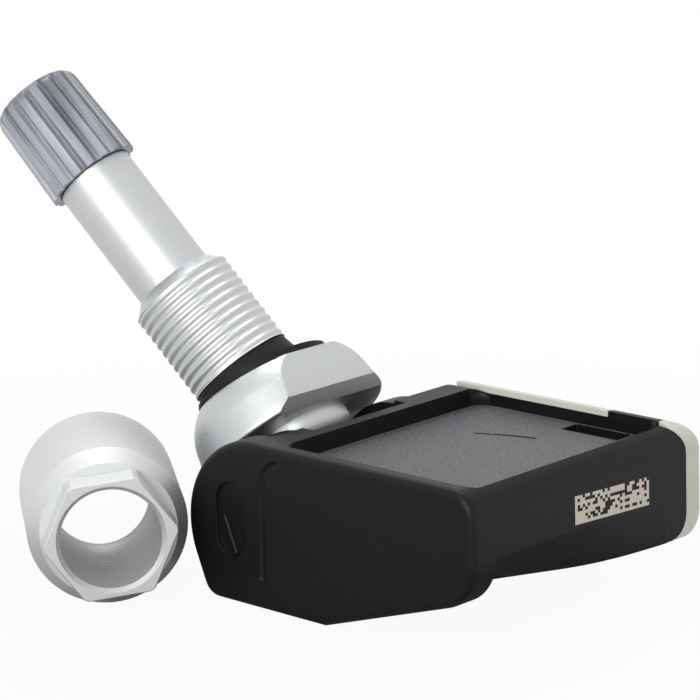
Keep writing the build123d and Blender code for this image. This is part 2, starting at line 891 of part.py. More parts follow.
with BuildPart() as coil_winding:
    winding_length = coil_length - 2 * (coil_cheek + coil_winding_gap)
    with BuildSketch(Plane.YZ.offset(coil_x - winding_length / 2)):
        with Locations((row_near_y, board_top + coil_height / 2)):
            RectangleRounded(
                coil_width - 2 * coil_winding_gap,
                coil_height - 2 * coil_winding_gap,
                coil_step / 2,
            )
            Rectangle(
                coil_width - 2 * (coil_step - coil_winding_gap),
                coil_height - 2 * (coil_step - coil_winding_gap),
                mode=Mode.SUBTRACT,
            )
    extrude(amount=winding_length)
coil_winding.part.label = "coil_winding"
export_step(coil_winding.part, "parts/coil_winding.step")

# Transmitting aerial: a flat strip bent into a staple across the board
aerial_x = board_start_x + row_step / 2
with BuildPart() as aerial:
    with BuildSketch(Plane.YZ.offset(aerial_x - aerial_width / 2)):
        with Locations((row_middle_y, board_top)):
            Rectangle(aerial_span, aerial_height, align=(Align.CENTER, Align.MIN))
            Rectangle(
                aerial_span - 2 * aerial_thickness,
                aerial_height - aerial_thickness,
                align=(Align.CENTER, Align.MIN),
                mode=Mode.SUBTRACT,
            )
    extrude(amount=aerial_width)
aerial.part.label = "aerial"
export_step(aerial.part, "parts/aerial.step")

# Battery in its bay under the board, between its two contact tabs
battery_y = bay_near_y + battery_radius + battery_gap
battery_bottom = battery_bay_floor + tab_thickness
battery_top = battery_bottom + battery_height
with BuildPart() as battery:
    with BuildSketch(Plane.XY.offset(battery_bottom)):
        with Locations((battery_x, battery_y)):
            Circle(battery_radius)
    extrude(amount=battery_height)
    fillet(battery.edges().filter_by(GeomType.CIRCLE), radius=battery_edge_round)
battery.part.label = "battery"
export_step(battery.part, "parts/battery.step")


def battery_tab(leg_x, face, end_face_x):
    """A bent contact strip: flat on the battery's face, with a leg up to the board."""
    low, high = face
    with BuildPart() as tab:
        with BuildSketch(Plane.XZ.offset(-battery_y - tab_width / 2)):
            with BuildLine():
                Polyline(
                    (leg_x, low),
                    (end_face_x, low),
                    (end_face_x, high),
                    (leg_x + tab_thickness, high),
                    (leg_x + tab_thickness, board_seat_height),
                    (leg_x, board_seat_height),
                    close=True,
                )
            make_face()
        extrude(amount=-tab_width)
    return tab.part


with BuildPart() as battery_tab_positive:
    leg_at = battery_x - tab_length / 2
    add(battery_tab(leg_at, (battery_top, battery_top + tab_thickness), leg_at + tab_length))
battery_tab_positive.part.label = "battery_tab_positive"
export_step(battery_tab_positive.part, "parts/battery_tab_positive.step")

with BuildPart() as battery_tab_negative:
    leg_at = battery_bay_start_x + tab_thickness / 2
    add(battery_tab(leg_at, (battery_bay_floor, battery_bottom), battery_x + tab_length / 2))
battery_tab_negative.part.label = "battery_tab_negative"
export_step(battery_tab_negative.part, "parts/battery_tab_negative.step")

# End lid: the shell of the rounded end, with a plug rim in the cavity's mouth
with BuildPart() as end_lid:
    add(box_form(end_x + lid_thickness))
    add(box_form(end_x + lid_seam), mode=Mode.SUBTRACT)
    with BuildSketch(Plane.YZ.offset(recess_end_x + lid_seam)):
        with Locations((near_y - overlap, -overlap)):
            Rectangle(
                housing_width + 2 * overlap,
                housing_height + 2 * overlap,
                align=(Align.MIN, Align.MIN),
            )
    extrude(amount=-housing_length, mode=Mode.SUBTRACT)
    with BuildSketch(Plane.XY.offset(housing_height - catch_depth - catch_gap)):
        with Locations((end_x + catch_reach + catch_gap, near_y + catch_from_near - catch_gap)):
            Rectangle(
                end_top_radius + catch_reach + catch_gap,
                catch_width + 2 * catch_gap,
                align=(Align.MAX, Align.MIN),
            )
    extrude(amount=catch_depth + catch_gap + overlap, mode=Mode.SUBTRACT)
    with BuildSketch(Plane.YZ.offset(end_x - lid_plug)):
        with Locations((cavity_near_y + lid_plug_gap, board_seat_height + lid_plug_gap)):
            plug_height = cavity_top - board_seat_height - 2 * lid_plug_gap
            Rectangle(
                cavity_width - 2 * lid_plug_gap,
                plug_height,
                align=(Align.MIN, Align.MIN),
            )
    extrude(amount=lid_plug + lid_seam)
end_lid.part.label = "end_lid"
export_step(end_lid.part, "parts/end_lid.step")
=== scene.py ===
import math

import bmesh
import bpy
from mathutils import Matrix, Vector


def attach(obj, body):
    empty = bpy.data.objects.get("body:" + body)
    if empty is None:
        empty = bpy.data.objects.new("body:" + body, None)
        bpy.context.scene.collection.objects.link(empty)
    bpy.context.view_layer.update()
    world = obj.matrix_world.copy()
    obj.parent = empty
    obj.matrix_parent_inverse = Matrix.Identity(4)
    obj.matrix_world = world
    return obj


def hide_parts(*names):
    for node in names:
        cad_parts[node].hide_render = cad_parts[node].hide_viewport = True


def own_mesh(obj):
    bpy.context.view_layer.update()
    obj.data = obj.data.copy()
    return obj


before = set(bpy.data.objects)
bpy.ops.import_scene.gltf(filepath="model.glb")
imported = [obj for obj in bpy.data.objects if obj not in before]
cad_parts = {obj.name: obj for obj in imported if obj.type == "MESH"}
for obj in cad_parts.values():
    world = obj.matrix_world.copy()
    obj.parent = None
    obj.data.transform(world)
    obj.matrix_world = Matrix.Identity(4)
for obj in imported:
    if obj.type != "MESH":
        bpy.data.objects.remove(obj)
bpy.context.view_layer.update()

# Housing: the long black box with its front flange, cradle and sunken panel.
# It is one moulding of nylon filled with short glass fibre. The mould leaves its
# corners a little rounded, and everything else is fixed to it.
mm = 0.001
same_spot = 0.001 * mm
sliver = 0.005 * mm
flat_angle = math.radians(0.5)
sharp_angle = math.radians(32)
housing_corner = 0.14 * mm
housing_sharp_angle = math.radians(20)
skin_grain = 0.22 * mm
fibre_length = 0.5 * mm
nylon_black = "#0d0e10"
nylon_fibre = "#1d1e21"


def linear(hex_colour):
    """An sRGB hex colour as the linear colour that a shader takes."""
    shades = []
    for start in (1, 3, 5):
        shade = int(hex_colour[start:start + 2], 16) / 255
        if shade <= 0.04045:
            shades.append(shade / 12.92)
        else:
            shades.append(((shade + 0.055) / 1.055) ** 2.4)
    return (*shades, 1.0)


def add_node(tree, kind, sockets, **settings):
    """A node with its settings, each of its sockets set to a value or linked to an output."""
    node = tree.nodes.new(kind)
    for setting, value in settings.items():
        setattr(node, setting, value)
    for socket, value in sockets.items():
        if isinstance(value, bpy.types.NodeSocket):
            tree.links.new(value, node.inputs[socket])
        else:
            node.inputs[socket].default_value = value
    return node


def new_finish(name, sockets):
    """A material, with its shader's sockets set, its node tree and the place on the piece."""
    finish = bpy.data.materials.new(name)
    finish.use_nodes = True
    tree = finish.node_tree
    shader = tree.nodes["Principled BSDF"]
    for socket, value in sockets.items():
        shader.inputs[socket].default_value = value
    place = add_node(tree, "ShaderNodeTexCoord", {}).outputs["Object"]
    return finish, tree, shader, place


def copied_form(node):
    """The form of a solid, with the triangles of each flat face joined."""
    form = bmesh.new()
    form.from_mesh(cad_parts[node].data)
    bmesh.ops.remove_doubles(form, verts=form.verts, dist=same_spot)
    bmesh.ops.dissolve_limit(
        form, angle_limit=flat_angle, verts=form.verts, edges=form.edges)
    return form


def round_edges(form, corner):
    """Rounds the sharp edges that have room for it, as a mould leaves them."""
    room = 1.5 * corner
    sharp = []
    for edge in form.edges:
        if len(edge.link_faces) != 2 or edge.calc_face_angle() < sharp_angle:
            continue
        beside = [other.calc_length() for vertex in edge.verts for other in vertex.link_edges]
        depths = [
            face.calc_area() / max(side.calc_length() for side in face.edges)
            for face in edge.link_faces
        ]
        if min(beside) > room and min(depths) > room:
            sharp.append(edge)
    bmesh.ops.bevel(form, geom=sharp, offset=corner, segments=2, profile=0.5,
                    affect="EDGES", clamp_overlap=False)
    bmesh.ops.remove_doubles(form, verts=form.verts, dist=sliver)
    bmesh.ops.dissolve_degenerate(form, dist=sliver, edges=form.edges)


def new_piece(name, form, finish, body, nodes, angle=sharp_angle):
    """A shown piece from its form: shaded smooth, finished, and riding on its body."""
    mesh = bpy.data.meshes.new(name)
    form.to_mesh(mesh)
    form.free()
    for face in mesh.polygons:
        face.use_smooth = True
    mesh.set_sharp_from_angle(angle=angle)
    mesh.materials.append(finish)
    piece = bpy.data.objects.new(name, mesh)
    bpy.context.scene.collection.objects.link(piece)
    piece.modifiers.new("level_faces", "WEIGHTED_NORMAL").keep_sharp = True
    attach(piece, body)
    if nodes:
        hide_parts(*nodes)
    return piece


# Glass-filled nylon, injection moulded: a dark satin skin, with short fibres near the
# surface that show as a fine pale fleck. The grain is drawn a little coarse so that it shows.
moulded_nylon, tree, shader, place = new_finish(
    "glass_filled_nylon", {"Specular IOR Level": 0.2})
grain = add_node(
    tree, "ShaderNodeTexNoise", {"Vector": place, "Scale": 1 / skin_grain, "Detail": 3})
fleck = add_node(
    tree, "ShaderNodeTexNoise", {"Vector": place, "Scale": 1 / fibre_length, "Detail": 4})
fleck_share = add_node(
    tree, "ShaderNodeMapRange",
    {"Value": fleck.outputs["Fac"], "From Min": 0.58, "From Max": 0.8, "To Max": 0.5})
nylon_mix = add_node(
    tree, "ShaderNodeMix",
    {"Factor": fleck_share.outputs["Result"], "A": linear(nylon_black), "B": linear(nylon_fibre)},
    data_type="RGBA")
gloss = add_node(
    tree, "ShaderNodeMapRange", {"Value": grain.outputs["Fac"], "To Min": 0.36, "To Max": 0.54})
skin = add_node(
    tree, "ShaderNodeBump",
    {"Height": grain.outputs["Fac"], "Strength": 0.12, "Distance": 0.02 * mm})
tree.links.new(gloss.outputs["Result"], shader.inputs["Roughness"])
tree.links.new(skin.outputs["Normal"], shader.inputs["Normal"])
# The sunken panel is painted paler, a painted sheen for the glancing reflection off its floor, with
# an even gritty mottle.
panel_middle = Vector((14, -18.12, 14.7)) * mm
panel_reach = Vector((14.3, 12, 0.05)) * mm
panel_grit = 0.35 * mm
panel_sheen_grey = "#4b4c4f"
panel_sheen_pale = "#67686b"
from_middle = add_node(
    tree, "ShaderNodeVectorMath",
    {0: add_node(tree, "ShaderNodeVectorMath", {0: place, 1: panel_middle},
                 operation="SUBTRACT").outputs["Vector"]}, operation="ABSOLUTE")
within = add_node(
    tree, "ShaderNodeVectorMath", {0: panel_reach, 1: from_middle.outputs["Vector"]},
    operation="SUBTRACT")
sides = add_node(tree, "ShaderNodeSeparateXYZ", {0: within.outputs["Vector"]})
least = add_node(
    tree, "ShaderNodeMath", {0: sides.outputs["X"], 1: sides.outputs["Y"]}, operation="MINIMUM")
least = add_node(
    tree, "ShaderNodeMath", {0: least.outputs["Value"], 1: sides.outputs["Z"]},
    operation="MINIMUM")
on_sheen_panel = add_node(
    tree, "ShaderNodeMath", {0: least.outputs["Value"], 1: 0.0}, operation="GREATER_THAN")
grit = add_node(
    tree, "ShaderNodeTexNoise", {"Vector": place, "Scale": 1 / panel_grit, "Detail": 3})
grit_share = add_node(
    tree, "ShaderNodeMapRange", {"Value": grit.outputs["Fac"], "From Min": 0.35, "From Max": 0.65})
# Painted sheen: the panel's two greys, mixed in a gritty mottle, stand in for its glancing
# reflection.
panel_sheen_mix = add_node(
    tree, "ShaderNodeMix",
    {"Factor": grit_share.outputs["Result"], "A": linear(panel_sheen_grey), "B": linear(panel_sheen_pale)},
    data_type="RGBA")
bare_mix = add_node(
    tree, "ShaderNodeMix",
    {"Factor": on_sheen_panel.outputs["Value"], "A": nylon_mix.outputs["Result"],
     "B": panel_sheen_mix.outputs["Result"]}, data_type="RGBA")
# Laser-marked patch on the near side: the beam foams the nylon, and its cells turn pale. The
# cells are scattered by chance and hold no code, with a plain pale line at the foot and one end.
patch_corner = Vector((12.8, -31.55, 10.2)) * mm
patch_slope = 0.055
patch_length = 11.0 * mm
patch_height = 2.8 * mm
patch_skin = 0.05 * mm
patch_columns = 30
patch_rows = 9
patch_dark_share = 0.42
patch_pale = "#d3ccbd"
spot = add_node(tree, "ShaderNodeSeparateXYZ", {
    0: add_node(tree, "ShaderNodeVectorMath", {0: place, 1: patch_corner},
                operation="SUBTRACT").outputs["Vector"]})
lowered = add_node(
    tree, "ShaderNodeMath", {0: spot.outputs["X"], 1: patch_slope, 2: spot.outputs["Z"]},
    operation="MULTIPLY_ADD")
cell_place = add_node(
    tree, "ShaderNodeCombineXYZ", {"X": spot.outputs["X"], "Y": lowered.outputs["Value"]})
cell_count = add_node(
    tree, "ShaderNodeVectorMath",
    {0: cell_place.outputs["Vector"],
     1: (patch_columns / patch_length, patch_rows / patch_height, 0)}, operation="MULTIPLY")
cell = add_node(
    tree, "ShaderNodeVectorMath", {0: cell_count.outputs["Vector"]}, operation="FLOOR")
chance = add_node(
    tree, "ShaderNodeTexWhiteNoise", {"Vector": cell.outputs["Vector"]}, noise_dimensions="2D")
marked = add_node(
    tree, "ShaderNodeMath", {0: chance.outputs["Value"], 1: patch_dark_share},
    operation="GREATER_THAN")
cell_at = add_node(tree, "ShaderNodeSeparateXYZ", {0: cell.outputs["Vector"]})
# The first row and the first column of cells are wholly pale.
for row_or_column in (cell_at.outputs["X"], cell_at.outputs["Y"]):
    border = add_node(tree, "ShaderNodeMath", {0: row_or_column, 1: 0.5}, operation="LESS_THAN")
    marked = add_node(
        tree, "ShaderNodeMath", {0: marked.outputs["Value"], 1: border.outputs["Value"]},
        operation="MAXIMUM")
for value, middle, reach in (
        (spot.outputs["X"], patch_length / 2, patch_length / 2),
        (lowered.outputs["Value"], patch_height / 2, patch_height / 2),
        (spot.outputs["Y"], 0, patch_skin)):
    inside = add_node(tree, "ShaderNodeMath", {0: value, 1: middle, 2: reach}, operation="COMPARE")
    marked = add_node(
        tree, "ShaderNodeMath", {0: marked.outputs["Value"], 1: inside.outputs["Value"]},
        operation="MULTIPLY")
patched = add_node(
    tree, "ShaderNodeMix",
    {"Factor": marked.outputs["Value"], "A": bare_mix.outputs["Result"], "B": linear(patch_pale)},
    data_type="RGBA")
tree.links.new(patched.outputs["Result"], shader.inputs["Base Color"])


def round_bar(spots, radius, sides=32):
    """A bar with a round section and round ends, along spots in a plane square to X."""
    bar = []
    for order, spot in enumerate(spots):
        along = spots[min(order + 1, len(spots) - 1)] - spots[max(order - 1, 0)]
        bar.append((spot, along.normalized(), radius))
    for sweep in (15, 30, 45, 60, 75):
        reach = radius * math.sin(math.radians(sweep))
        thickness = radius * math.cos(math.radians(sweep))
        for end, way in ((0, -1), (-1, 1)):
            along = bar[end][1]
            spot = spots[end] + way * reach * along
            bar.insert(0 if way < 0 else len(bar), (spot, along, thickness))
    form = bmesh.new()
    rings = []
    for spot, along, thickness in bar:
        side = along.cross(Vector((1, 0, 0)))
        ring = []
        for step in range(sides):
            angle = 2 * math.pi * step / sides
            offset = Vector((math.cos(angle), 0, 0)) + math.sin(angle) * side
            ring.append(form.verts.new(spot + thickness * offset))
        rings.append(ring)
    for low, high in zip(rings, rings[1:]):
        for step in range(sides):
            form.faces.new((low[step - 1], low[step], high[step], high[step - 1]))
    form.faces.new(rings[0])
    form.faces.new(rings[-1])
    bmesh.ops.recalc_face_normals(form, faces=form.faces)
    return form


def cut_away(form, tool):
    """The form with the tool's shape cut out of it."""
    holders = []
    for name, shape in (("kept_form", form), ("cutting_tool", tool)):
        mesh = bpy.data.meshes.new(name)
        shape.to_mesh(mesh)
        shape.free()
        holder = bpy.data.objects.new(name, mesh)
        bpy.context.scene.collection.objects.link(holder)
        holders.append(holder)
    cut = holders[0].modifiers.new("cut", "BOOLEAN")
    cut.operation = "DIFFERENCE"
    cut.solver = "EXACT"
    cut.object = holders[1]
    left = bmesh.new()
    left.from_mesh(holders[0].evaluated_get(bpy.context.evaluated_depsgraph_get()).data)
    for holder in holders:
        bpy.data.meshes.remove(holder.data)
    return left


# A shallow groove parts the round nose from the rest of the front face.
front_face = -1.65 * mm
groove_spots = (
    (-6.54, 15.03), (-5.98, 14.78), (-5.42, 14.44), (-4.99, 14.02), (-4.73, 13.53),
    (-4.6, 12.95), (-4.45, 10.23), (-4.31, 6.99), (-4.18, 3.33))
groove_radius = 0.5 * mm
groove_depth = 0.2 * mm
groove_route = [
    Vector((front_face - groove_radius + groove_depth, across * mm, height * mm))
    for across, height in groove_spots
]
housing_form = cut_away(copied_form("housing"), round_bar(groove_route, groove_radius))
round_edges(housing_form, housing_corner)
new_piece("housing_moulding", housing_form, moulded_nylon, "sensor_body",
          ["housing"], housing_sharp_angle)

# Rib in the nose's oval pocket: a small slanted bar with a round back, moulded with the
# housing in the same nylon.
rib_foot = Vector((-1.25, -0.35, 5.1)) * mm
rib_head = Vector((-1.25, 1.05, 8.5)) * mm
rib_radius = 0.28 * mm
rib_form = round_bar([rib_foot, rib_head], rib_radius)
new_piece("nose_rib", rib_form, moulded_nylon, "sensor_body", [])

# Circuit board and the chips on it: a glass laminate under green resist, with resin-bodied
# chips, slid into the housing from its open end. None of it shows once the lid is on.
weave_pitch = 0.5 * mm
resist_green = "#1f5a34"
resist_dark = "#184a2a"
resin_black = "#232325"
resin_grain = 0.12 * mm


def dress(finish, *nodes):
    """Gives a finish to solids that are shown as they are."""
    for node in nodes:
        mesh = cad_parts[node].data
        mesh.materials.clear()
        mesh.materials.append(finish)


# Glass laminate under solder resist: glossy green with the weave of the glass just showing.
laminate, tree, shader, place = new_finish("resist_on_glass_laminate", {"Roughness": 0.3})
weave = add_node(
    tree, "ShaderNodeTexChecker",
    {"Vector": place, "Scale": 1 / weave_pitch,
     "Color1": linear(resist_green), "Color2": linear(resist_dark)})
tree.links.new(weave.outputs["Color"], shader.inputs["Base Color"])
dress(laminate, "circuit_board")

# Moulded epoxy resin: a dull black with a fine even grain.
epoxy, tree, shader, place = new_finish(
    "moulded_epoxy", {"Base Color": linear(resin_black), "Roughness": 0.55})
grain = add_node(
    tree, "ShaderNodeTexNoise", {"Vector": place, "Scale": 1 / resin_grain, "Detail": 2})
pitting = add_node(
    tree, "ShaderNodeBump",
    {"Height": grain.outputs["Fac"], "Strength": 0.2, "Distance": 0.02 * mm})
tree.links.new(pitting.outputs["Normal"], shader.inputs["Normal"])
dress(epoxy, "pressure_sensor", "radio_chip")

# Metal pieces on the board: the aerial, the crystal's can, the capacitors' ends and the
# battery's two tabs are tinned, and soldered to the board.
tin_grey = "#c4c4c0"
tin_flow = 0.6 * mm
# Tinned sheet: pale and bright, with an uneven gloss where the tin flowed.
tinned, tree, shader, place = new_finish(
    "tinned_sheet", {"Base Color": linear(tin_grey), "Metallic": 1.0})
flow = add_node(tree, "ShaderNodeTexNoise", {"Vector": place, "Scale": 1 / tin_flow, "Detail": 2})
gloss = add_node(
    tree, "ShaderNodeMapRange", {"Value": flow.outputs["Fac"], "To Min": 0.18, "To Max": 0.4})
tree.links.new(gloss.outputs["Result"], shader.inputs["Roughness"])
dress(tinned, "crystal", "capacitors", "aerial", "battery_tab_positive", "battery_tab_negative")

# Wake-up coil: enamelled copper wire wound on a small ferrite dumb-bell, which is
# soldered to the board at its two cheeks.
wire_pitch = 0.2 * mm
copper_bright = "#b4633a"
copper_shade = "#6e3820"
ferrite_grey = "#3a3b3d"
ferrite_grain = 0.15 * mm
# Enamelled copper: reddish and glossy, with one shaded line between each two turns.
enamelled, tree, shader, place = new_finish(
    "enamelled_copper", {"Metallic": 1.0, "Roughness": 0.3})
turns = add_node(
    tree, "ShaderNodeTexWave", {"Vector": place, "Scale": 0.1 * math.pi / wire_pitch},
    wave_type="BANDS", bands_direction="X")
wire_mix = add_node(
    tree, "ShaderNodeMix",
    {"Factor": turns.outputs["Fac"], "A": linear(copper_shade), "B": linear(copper_bright)},
    data_type="RGBA")
tree.links.new(wire_mix.outputs["Result"], shader.inputs["Base Color"])
dress(enamelled, "coil_winding")
# Sintered ferrite: dark grey, dull and slightly gritty.
sintered, tree, shader, place = new_finish(
    "sintered_ferrite", {"Base Color": linear(ferrite_grey)})
grit = add_node(
    tree, "ShaderNodeTexNoise", {"Vector": place, "Scale": 1 / ferrite_grain, "Detail": 2})
gloss = add_node(
    tree, "ShaderNodeMapRange", {"Value": grit.outputs["Fac"], "To Min": 0.5, "To Max": 0.8})
tree.links.new(gloss.outputs["Result"], shader.inputs["Roughness"])
dress(sintered, "coil_core")

# Battery: a lithium coin cell in a pressed steel can, welded between its two tabs in the
# bay under the board.
can_grey = "#bcbcba"
can_mark = 0.15 * mm
# Nickel-plated steel: bright, with fine marks from pressing, drawn a little coarse.
nickel_steel, tree, shader, place = new_finish(
    "nickel_plated_steel", {"Base Color": linear(can_grey), "Metallic": 1.0})
marks = add_node(
    tree, "ShaderNodeTexNoise", {"Vector": place, "Scale": 1 / can_mark, "Detail": 1})
gloss = add_node(
    tree, "ShaderNodeMapRange", {"Value": marks.outputs["Fac"], "To Min": 0.2, "To Max": 0.35})
tree.links.new(gloss.outputs["Result"], shader.inputs["Roughness"])
dress(nickel_steel, "battery")

# End lid: the pale shell that closes the housing's rounded end. It is moulded in natural
# nylon, pushed on and welded, and the housing's catch holds it at the top.
lid_mottle = 3.0 * mm
lid_grain = 0.25 * mm
natural_cream = "#cbccbe"
natural_pale = "#d6d7ca"
# Natural nylon, moulded: cream and a little cloudy, because light goes into it.
natural_nylon, tree, shader, place = new_finish(
    "natural_nylon", {"Roughness": 0.42, "Subsurface Weight": 0.2, "Subsurface Scale": 0.8 * mm})
cloud = add_node(
    tree, "ShaderNodeTexNoise", {"Vector": place, "Scale": 1 / lid_mottle, "Detail": 3})
cream_mix = add_node(
    tree, "ShaderNodeMix",
    {"Factor": cloud.outputs["Fac"], "A": linear(natural_cream), "B": linear(natural_pale)},
    data_type="RGBA")
grain = add_node(
    tree, "ShaderNodeTexNoise", {"Vector": place, "Scale": 1 / lid_grain, "Detail": 2})
skin = add_node(
    tree, "ShaderNodeBump",
    {"Height": grain.outputs["Fac"], "Strength": 0.1, "Distance": 0.02 * mm})
tree.links.new(cream_mix.outputs["Result"], shader.inputs["Base Color"])
tree.links.new(skin.outputs["Normal"], shader.inputs["Normal"])
new_piece("lid_shell", copied_form("end_lid"), natural_nylon, "sensor_body",
          ["end_lid"])

# Swivel pin: a plain ground steel pin, pressed into the housing's cheeks, on which the
# valve's lug turns.
pin_grey = "#9fa1a5"
grind_mark = 0.15 * mm
# Ground steel: grey and bright, with an uneven gloss where the wheel passed.
ground_steel, tree, shader, place = new_finish(
    "ground_steel", {"Base Color": linear(pin_grey), "Metallic": 1.0})
grinding = add_node(
    tree, "ShaderNodeTexNoise", {"Vector": place, "Scale": 1 / grind_mark, "Detail": 2})
gloss = add_node(
    tree, "ShaderNodeMapRange", {"Value": grinding.outputs["Fac"], "To Min": 0.2, "To Max": 0.4})
tree.links.new(gloss.outputs["Result"], shader.inputs["Roughness"])
dress(ground_steel, "pivot_pin")

# Valve body: lug, neck, collar, clamping thread, stem and tip, all turned from one bar of
# aluminium and then plated. The pin goes through its lug.
stem_root = Vector((12.63, 0, 8.4)) * mm
stem_rise = math.radians(49.02)
stem_lean = math.radians(9.306)
stem_along = Vector((
    -math.sin(stem_lean),
    math.cos(stem_lean) * math.cos(stem_rise),
    math.cos(stem_lean) * math.sin(stem_rise),
))
thread_start = 15.26 * mm
thread_end = 26.46 * mm
thread_chamfer = 1.2 * mm
thread_radius = 5.5 * mm
thread_depth = 0.17 * mm
thread_pitch = 0.94 * mm
seal_seat_radius = 4.4 * mm
thread_rows = 198
rim_gap = 0.02 * mm
skin_reach = 0.05 * mm
stem_radius = 4.1 * mm
stem_shoulder = 40.2 * mm
stem_segments = 192
stem_polish = 0.39
polish_spread = 0.14
plate_silver = "#bec0c2"
plate_bright = "#cccecf"
plate_grain = 0.16 * mm
tool_line = 0.14 * mm


def axis_frame(root, along):
    """The frame of a turned piece: its third axis runs along the piece."""
    side = Vector((1, 0, 0))
    side = (side - along * side.dot(along)).normalized()
    return Matrix.Translation(root) @ Matrix((side, along.cross(side), along)).transposed().to_4x4()


def turn_on(form, axis, outline, segments, cut, first=0.0):
    """Turns an outline of radius, station and share of the cut round an axis."""
    rings = []
    for radius, station, share in outline:
        ring = []
        for step in range(segments):
            angle = first + 2 * math.pi * step / segments
            reach = radius - share * cut(station, angle)
            spot = Vector((reach * math.cos(angle), reach * math.sin(angle), station))
            ring.append(form.verts.new(axis @ spot))
        rings.append(ring)
    for low, high in zip(rings, rings[1:]):
        for step in range(segments):
            following = (step + 1) % segments
            form.faces.new((low[step], low[following], high[following], high[step]))


def thread_cut(start, end, pitch, depth):
    """How deep a thread is cut at a station and an angle, running out at its two ends."""
    fade = 0.3 * pitch

    def cut(station, angle):
        turn = station / pitch - angle / (2 * math.pi)
        run_out = min(1, (station - start) / fade, (end - station) / fade)
        return depth * max(0, run_out) * (0.5 - 0.5 * math.cos(2 * math.pi * turn))
    return cut


def satin_alloy(name, along, silver_shade, silver_bright, polish):
    """Turned and plated aluminium: satin silver, with faint tool lines round its axis."""
    finish, tree, shader, place = new_finish(name, {"Metallic": 1.0})
    grain = add_node(
        tree, "ShaderNodeTexNoise", {"Vector": place, "Scale": 1 / plate_grain, "Detail": 2})
    station = add_node(
        tree, "ShaderNodeVectorMath", {0: place, 1: along}, operation="DOT_PRODUCT")
    lines = add_node(
        tree, "ShaderNodeTexNoise",
        {"W": station.outputs["Value"], "Scale": 1 / tool_line, "Detail": 2},
        noise_dimensions="1D")
    silver = add_node(
        tree, "ShaderNodeMix",
        {"Factor": grain.outputs["Fac"], "A": linear(silver_shade), "B": linear(silver_bright)},
        data_type="RGBA")
    gloss = add_node(
        tree, "ShaderNodeMapRange",
        {"Value": lines.outputs["Fac"], "To Min": polish, "To Max": polish + polish_spread})
    relief = add_node(
        tree, "ShaderNodeMath", {0: grain.outputs["Fac"], 1: lines.outputs["Fac"]},
        operation="ADD")
    skin = add_node(
        tree, "ShaderNodeBump",
        {"Height": relief.outputs["Value"], "Strength": 0.12, "Distance": 0.02 * mm})
    tree.links.new(silver.outputs["Result"], shader.inputs["Base Color"])
    tree.links.new(gloss.outputs["Result"], shader.inputs["Roughness"])
    tree.links.new(skin.outputs["Normal"], shader.inputs["Normal"])
    return finish


stem_axis = axis_frame(stem_root, stem_along)
stem_alloy = satin_alloy(
    "plated_aluminium_stem", stem_along, plate_silver, plate_bright, stem_polish)
valve_form = copied_form("valve_body")
to_stem = stem_axis.inverted()
# The solid's plain skin from the seal's seat to the stem's shoulder gives way to a threaded one.
outer_faces = []
for face in valve_form.faces:
    spots = [to_stem @ vertex.co for vertex in face.verts]
    nearest = min(math.hypot(spot.x, spot.y) for spot in spots)
    lowest = min(spot.z for spot in spots)
    if nearest > stem_radius - skin_reach and lowest > thread_start - skin_reach:
        outer_faces.append(face)
bmesh.ops.delete(valve_form, geom=outer_faces, context="FACES")
outline = [(seal_seat_radius + rim_gap, thread_start, 0)]
for row in range(thread_rows + 1):
    station = thread_start + (thread_end - thread_chamfer - thread_start) * row / thread_rows
    outline.append((thread_radius, station, 1))
outline += [
    (thread_radius - thread_chamfer, thread_end, 0),
    (stem_radius, thread_end, 0),
    (stem_radius, stem_shoulder - rim_gap, 0),
]
stem_thread = thread_cut(thread_start, thread_end - thread_chamfer, thread_pitch, thread_depth)
turn_on(valve_form, stem_axis, outline, stem_segments, stem_thread)
for station in (thread_start, stem_shoulder):
    rims = [
        edge for edge in valve_form.edges
        if edge.is_boundary and abs((to_stem @ edge.verts[0].co).z - station) < 2 * rim_gap
    ]
    bmesh.ops.bridge_loops(valve_form, edges=rims)
bmesh.ops.recalc_face_normals(valve_form, faces=valve_form.faces)
new_piece("valve_turning", valve_form, stem_alloy, "valve", ["valve_body"])

# Grommet: the black rubber seal that sits on the collar's slanted seat and is squeezed
# against the wheel when the nut is done up.
grommet_corner = 0.3 * mm
rubber_black = "#141518"
rubber_grain = 0.3 * mm
# Moulded rubber: near black and dull, with a fine uneven skin.
moulded_rubber, tree, shader, place = new_finish(
    "moulded_rubber", {"Base Color": linear(rubber_black), "Specular IOR Level": 0.2})
grain = add_node(
    tree, "ShaderNodeTexNoise", {"Vector": place, "Scale": 1 / rubber_grain, "Detail": 3})
gloss = add_node(
    tree, "ShaderNodeMapRange", {"Value": grain.outputs["Fac"], "To Min": 0.45, "To Max": 0.7})
skin = add_node(
    tree, "ShaderNodeBump",
    {"Height": grain.outputs["Fac"], "Strength": 0.15, "Distance": 0.03 * mm})
tree.links.new(gloss.outputs["Result"], shader.inputs["Roughness"])
tree.links.new(skin.outputs["Normal"], shader.inputs["Normal"])
grommet_form = copied_form("grommet")
round_edges(grommet_form, grommet_corner)
new_piece("grommet_seal", grommet_form, moulded_rubber, "valve", ["grommet"])
dress(moulded_rubber, "core_ring", "core_cup", "cap_washer", "port_gasket")

# Valve core: a turned brass sleeve and plunger with a steel spring between them, screwed
# into the stem's tip under the cap. The spring shortens when the plunger is pressed.
brass_yellow = "#c8a560"
brass_mark = 0.15 * mm
